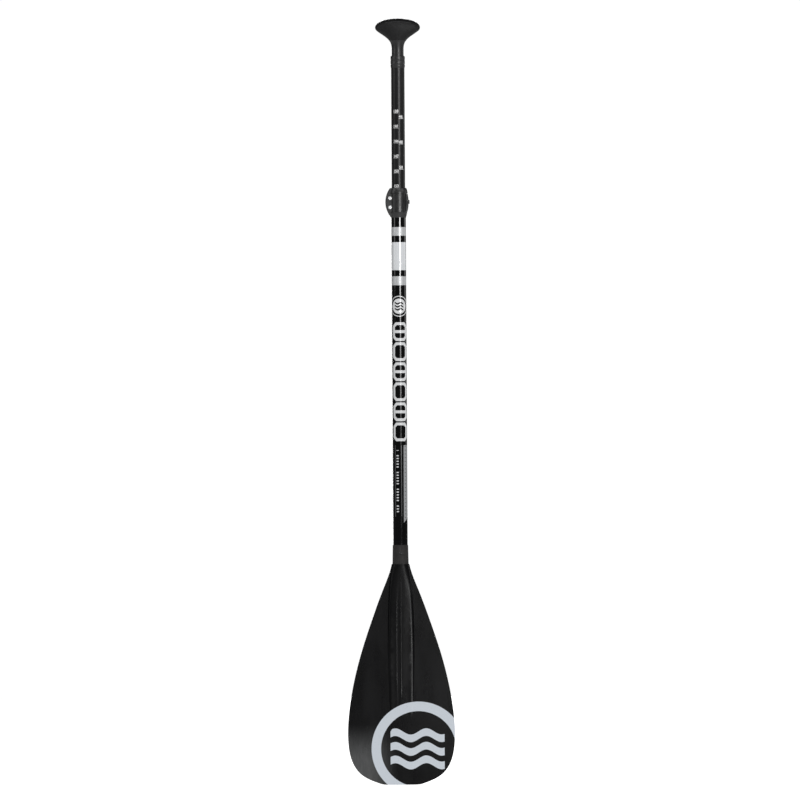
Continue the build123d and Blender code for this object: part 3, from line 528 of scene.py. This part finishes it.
# ------------------------------------------------------------------ length scale
# Numbers screen-printed in pale grey on the extension. A number on the left is level with the
# clamp's rim when the paddle is that many centimetres long; those on the right are the height in
# inches of somebody whom that length suits.
INK_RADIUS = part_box("extension_tube")[1].x + 0.00001
INK_THICKNESS = 0.000012
BOLDNESS = 0.00018
WRAP_STEP = 0.0006  # width of the strips that lie round the tube
LINE_THICKNESS = 0.0007
FOOT_DROP = 0.003  # from the top of the space that a number takes to its foot
CENTIMETRES = (0.0074, -0.0103, 0.0108)  # size, left side and line of the numbers on the left
INCHES = (0.0082, 0.0016, 0.0096)  # the same for the numbers on the right
CENTIMETRE_MARKS = range(138, 183, 3)
INCH_MARKS = range(46, 66, 2)
INCH = 0.0254
LINE_DROP = 0.0012  # the line is this far under the foot of its number
REACH_OVER_HEAD = 0.223  # how much longer than its user a paddle is
RIM_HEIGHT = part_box("clamp_collar")[1].z
PADDLE_LENGTH = cad_box[1][2] - cad_box[0][2]
scale_ink, tree, shader = new_finish("scale_ink")
worn = ramp(tree, mottle(tree, 2600.0, detail=4.0, roughness=0.7), 0.3, 0.5)
set_colour(tree, shader, blend_colour(tree, worn, (0.66, 0.66, 0.66), (0.86, 0.86, 0.86)))
set_roughness(tree, shader, mottle(tree, 900.0), 0.45, 0.6)
relief(tree, shader, mottle(tree, 4000.0), 0.000008)


def print_mark(label, size, left, underline, height):
    """A number with a line under it, as a thin closed film lying flat in X and Z."""
    bpy.ops.object.text_add(location=(0.0, 0.0, 0.0))
    words = bpy.context.object
    words.data.body = label
    words.data.size = size
    words.data.align_x = "LEFT"
    words.data.extrude = INK_THICKNESS / 2.0
    words.data.offset = BOLDNESS
    words.data.resolution_u = 4
    bpy.ops.object.convert(target="MESH")
    bpy.ops.object.editmode_toggle()
    bpy.ops.mesh.select_all(action="SELECT")
    bpy.ops.mesh.remove_doubles(threshold=0.000001)
    bpy.ops.object.editmode_toggle()
    words.data.transform(Matrix.Rotation(math.pi / 2.0, 4, "X"))
    words.data.transform(Matrix.Translation((left, 0.0, height)))
    bpy.ops.mesh.primitive_cube_add(size=1.0)
    line = bpy.context.object
    line.data.transform(Matrix.Diagonal((underline, INK_THICKNESS, LINE_THICKNESS, 1.0)))
    line.data.transform(Matrix.Translation((left + underline / 2.0, 0.0, height - LINE_DROP)))
    words.select_set(True)
    bpy.context.view_layer.objects.active = words
    bpy.ops.object.join()
    words.name = "scale"
    bpy.ops.object.select_all(action="DESELECT")
    return words


def wrap_round(film, radius):
    """Cuts a flat film into narrow strips and lays it on the front of a tube."""
    bpy.context.view_layer.objects.active = film
    film.select_set(True)
    bpy.ops.object.editmode_toggle()
    reach = max(abs(point.co.x) for point in film.data.vertices)
    cuts = int(reach / WRAP_STEP) + 1
    for cut in range(-cuts, cuts + 1):
        bpy.ops.mesh.select_all(action="SELECT")
        bpy.ops.mesh.bisect(plane_co=(cut * WRAP_STEP, 0.0, 0.0), plane_no=(1.0, 0.0, 0.0))
    bpy.ops.object.editmode_toggle()
    for point in film.data.vertices:
        turn = point.co.x / radius
        out = radius - point.co.y
        point.co.x = out * math.sin(turn)
        point.co.y = -out * math.cos(turn)
    bpy.ops.object.select_all(action="DESELECT")


films = []
foot_at_zero = RIM_HEIGHT + LINE_DROP + PADDLE_LENGTH - FOOT_DROP
for centimetres in CENTIMETRE_MARKS:
    foot = foot_at_zero - centimetres / 100.0
    films.append(print_mark(str(centimetres), *CENTIMETRES, foot))
for inches in INCH_MARKS:
    foot = foot_at_zero - (inches * INCH + REACH_OVER_HEAD)
    films.append(print_mark(str(inches), *INCHES, foot))
for film in films:
    film.select_set(True)
bpy.context.view_layer.objects.active = films[0]
bpy.ops.object.join()
length_scale = films[0]
length_scale.name = "length_scale"
wrap_round(length_scale, INK_RADIUS)
length_scale.data.materials.append(scale_ink)
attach(length_scale, "extension")


# ------------------------------------------------------------------ foot and guide ring
# Dark acetal plug pressed into the foot of the extension, with a split guide ring of the same
# plastic in its groove.
glide_acetal, tree, shader = new_finish("glide_acetal")
colour = blend_colour(tree, mottle(tree, 90.0), (0.07, 0.07, 0.072), (0.1, 0.1, 0.103))
set_colour(tree, shader, blend_colour(tree, worn_edges(tree, 0.0005), colour, (0.2, 0.2, 0.2)))
set_roughness(tree, shader, mottle(tree, 300.0), 0.35, 0.5)
relief(tree, shader, mottle(tree, 1500.0, (1.0, 1.0, 0.2)), 0.00003)
wear("extension_foot", glide_acetal)
wear("glide_ring", glide_acetal)


# ------------------------------------------------------------------ ferrule
# Semi-gloss moulded ring with two grooves, pushed over the top of the extension and held by the
# cross pin.
ferrule_plastic, tree, shader = new_finish("ferrule_plastic")
colour = blend_colour(tree, mottle(tree, 120.0), (0.014, 0.014, 0.015), (0.022, 0.022, 0.023))
colour = blend_colour(tree, worn_edges(tree, 0.0006), colour, (0.08, 0.08, 0.083))
set_colour(tree, shader, colour)
set_roughness(tree, shader, mottle(tree, 300.0), 0.34, 0.44)
relief(tree, shader, mottle(tree, 1800.0, detail=2.0), 0.00003, 0.6)
wear("grip_ferrule", ferrule_plastic)


# ------------------------------------------------------------------ palm grip
# Semi-gloss nylon neck and core, a soft rubber cover moulded round the core with crossed
# grooves that leave fine diamonds, and a smooth cap pressed on over the palm.
grip_nylon, tree, shader = new_finish("grip_nylon")
tone = mottle(tree, 120.0, detail=4.0)
colour = blend_colour(tree, tone, (0.009, 0.009, 0.0095), (0.015, 0.015, 0.016))
set_colour(tree, shader, blend_colour(tree, worn_edges(tree, 0.0008), colour, (0.08, 0.08, 0.083)))
set_roughness(tree, shader, mottle(tree, 260.0), 0.32, 0.42)
relief(tree, shader, mottle(tree, 1600.0, detail=2.0), 0.00003, 0.6)
wear("grip_core", grip_nylon)

SKIN_VOXEL = 0.0005
DIAMOND = 0.004  # width of a diamond
GROOVE_SHARE = 0.5  # share of the pitch that slopes into a groove
GROOVE_CUT = 0.00032
SIDE_TURN = (0.25, 0.45)  # how far a place has to face front or back for grooves to set in
SMOOTH_ANGLE = math.radians(50.0)


def groove_depth(place_on, normal):
    """Depth of the crossed grooves at a place: none near the sides, the ends and inside."""
    outward = normal.x * place_on.x + normal.y * place_on.y
    if outward <= 0.0 or abs(normal.y) < SIDE_TURN[0]:
        return 0.0
    rise = (place_on.x + place_on.z) / DIAMOND
    fall = (place_on.x - place_on.z) / DIAMOND
    first = 1.0 - 2.0 * abs(rise - math.floor(rise) - 0.5)
    second = 1.0 - 2.0 * abs(fall - math.floor(fall) - 0.5)
    proud = min(1.0, first / GROOVE_SHARE, second / GROOVE_SHARE)
    edge = min(1.0, (abs(normal.y) - SIDE_TURN[0]) / (SIDE_TURN[1] - SIDE_TURN[0]))
    return GROOVE_CUT * (1.0 - proud) * edge


grip_rubber, tree, shader = new_finish("grip_rubber")
shader.inputs["Specular IOR Level"].default_value = 0.28
tone = mottle(tree, 100.0, detail=4.0)
colour = blend_colour(tree, tone, (0.0045, 0.0045, 0.0048), (0.0085, 0.0085, 0.009))
set_colour(tree, shader, blend_colour(tree, worn_edges(tree, 0.0006), colour, (0.06, 0.06, 0.062)))
set_roughness(tree, shader, mottle(tree, 500.0), 0.42, 0.56)
relief(tree, shader, mottle(tree, 1800.0, detail=2.0), 0.00005, 0.6)
wear("grip_cover", grip_rubber)

cover_mesh = nodes["grip_cover"].data.copy()
cover_mesh.transform(nodes["grip_cover"].matrix_world)
grip_skin = bpy.data.objects.new("grip_skin", cover_mesh)
bpy.context.scene.collection.objects.link(grip_skin)
bpy.ops.object.select_all(action="DESELECT")
grip_skin.select_set(True)
bpy.context.view_layer.objects.active = grip_skin
bpy.ops.object.editmode_toggle()
bpy.ops.mesh.select_all(action="SELECT")
bpy.ops.mesh.remove_doubles(threshold=0.000001)
bpy.ops.object.editmode_toggle()
even = grip_skin.modifiers.new("even", "REMESH")
even.mode = "VOXEL"
even.voxel_size = SKIN_VOXEL
bpy.ops.object.modifier_apply(modifier=even.name)
skin_points = grip_skin.data.vertices
pushes = [groove_depth(point.co, point.normal) for point in skin_points]
moves = [point.normal * push for point, push in zip(skin_points, pushes)]
for point, move in zip(skin_points, moves):
    point.co -= move
bpy.ops.object.shade_smooth_by_angle(angle=SMOOTH_ANGLE)
bpy.ops.object.select_all(action="DESELECT")
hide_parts("grip_cover")
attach(grip_skin, "extension")

cap_plastic, tree, shader = new_finish("cap_plastic")
tone = mottle(tree, 100.0, detail=4.0)
colour = blend_colour(tree, tone, (0.005, 0.005, 0.0053), (0.009, 0.009, 0.0096))
set_colour(tree, shader, blend_colour(tree, worn_edges(tree, 0.0006), colour, (0.08, 0.08, 0.083)))
set_roughness(tree, shader, mottle(tree, 260.0), 0.18, 0.26)
relief(tree, shader, mottle(tree, 1400.0, detail=2.0), 0.00003, 0.6)
wear("grip_cap", cap_plastic)


# ------------------------------------------------------------------ floor
# Plain pale studio floor just under the tip of the blade. It glows less in reflections, so that
# the black pieces stay black.
FLOOR_HEIGHT = cad_box[0][2] - 0.004
FLOOR_RADIUS = 6.0
FLOOR_GLOW = 0.9
FLOOR_GLOW_IN_GLOSS = 0.1
below = (0.0, 0.0, FLOOR_HEIGHT)
bpy.ops.mesh.primitive_circle_add(vertices=96, radius=FLOOR_RADIUS, fill_type="NGON", location=below)
floor = bpy.context.object
floor.name = "floor"
studio_floor, tree, shader = new_finish("studio_floor")
shader.inputs["Base Color"].default_value = (0.8, 0.8, 0.8, 1.0)
shader.inputs["Roughness"].default_value = 0.9
shader.inputs["Specular IOR Level"].default_value = 0.0
shader.inputs["Emission Color"].default_value = (1.0, 1.0, 1.0, 1.0)
light_path = tree.nodes.new("ShaderNodeLightPath")
glow = ramp(tree, light_path.outputs["Is Glossy Ray"], 0.0, 1.0, FLOOR_GLOW, FLOOR_GLOW_IN_GLOSS)
tree.links.new(glow, shader.inputs["Emission Strength"])
floor.data.materials.append(studio_floor)
floor.visible_diffuse = False


# ------------------------------------------------------------------ light and camera
# A wide soft box a little to the right of the camera, weak fill from the sides, above and
# behind, small boxes near the palm grip, and a surround that is white only to the camera.
AMBIENT = 0.38
AMBIENT_IN_GLOSS = 0.05
BACKDROP = 1.02
surround = bpy.data.worlds.new("surround")
bpy.context.scene.world = surround
surround.use_nodes = True
tree = surround.node_tree
background = tree.nodes["Background"]
light_path = tree.nodes.new("ShaderNodeLightPath")
ambient = ramp(tree, light_path.outputs["Is Diffuse Ray"], 0.0, 1.0, AMBIENT_IN_GLOSS, AMBIENT)
strength = blend_number(tree, light_path.outputs["Is Camera Ray"], ambient, BACKDROP)
tree.links.new(strength, background.inputs["Strength"])
background.inputs["Color"].default_value = (1.0, 1.0, 1.0, 1.0)


def soft_box(name, azimuth, elevation, distance, width, height, radiance, target=(0.0, 0.0, 0.0)):
    """Rectangular light aimed at a target; azimuth 0 is in front, positive to the right."""
    turn = math.radians(azimuth)
    rise = math.radians(elevation)
    away = Vector((math.sin(turn) * math.cos(rise), -math.cos(turn) * math.cos(rise), math.sin(rise)))
    lamp = bpy.data.lights.new(name, "AREA")
    lamp.shape = "RECTANGLE"
    lamp.size = width
    lamp.size_y = height
    lamp.energy = radiance * math.pi * width * height
    light = bpy.data.objects.new(name, lamp)
    bpy.context.scene.collection.objects.link(light)
    light.location = Vector(target) + away * distance
    light.rotation_mode = "QUATERNION"
    light.rotation_quaternion = away.to_track_quat("Z", "Y")
    light.visible_camera = False


PALM = (0.0, 0.0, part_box("grip_cover")[1].z)
soft_box("key_strip", 20.0, 7.5, 8.0, 2.5, 1.5, 16.0)
soft_box("key_strip_low", 20.0, 1.2, 8.0, 2.4, 0.5, 3.6)
soft_box("fill_left", -70.0, 14.0, 6.0, 1.8, 2.4, 1.6)
soft_box("side_right", 112.0, 10.0, 6.0, 1.8, 2.4, 1.3)
soft_box("overhead", 0.0, 62.0, 5.0, 4.6, 4.0, 1.0)
soft_box("palm_front", 13.0, 31.0, 0.9, 0.36, 0.26, 4.0, PALM)
soft_box("palm_left", -64.0, 12.0, 0.9, 0.3, 0.3, 3.0, PALM)
soft_box("palm_right", 60.0, 10.0, 0.9, 0.3, 0.3, 3.0, PALM)
soft_box("rear_strip", 180.0, 8.0, 9.0, 2.4, 4.0, 7.0)

CAMERA_DISTANCE = 20.0
FRAME_HEIGHT = 1.6032
CAMERA_AIM = (0.00076, 0.0, -0.0315)
ROLL = math.radians(0.327)  # the paddle hangs a little off the vertical
lens = bpy.data.cameras.new("camera")
camera = bpy.data.objects.new("camera", lens)
bpy.context.scene.collection.objects.link(camera)
lens.sensor_width = 36.0
lens.lens = lens.sensor_width * CAMERA_DISTANCE / FRAME_HEIGHT
lens.clip_end = 100.0
camera.location = (CAMERA_AIM[0], -CAMERA_DISTANCE, CAMERA_AIM[2])
camera.rotation_euler = (math.pi / 2.0, ROLL, 0.0)
bpy.context.scene.camera = camera
bpy.context.scene.view_settings.view_transform = "Standard"
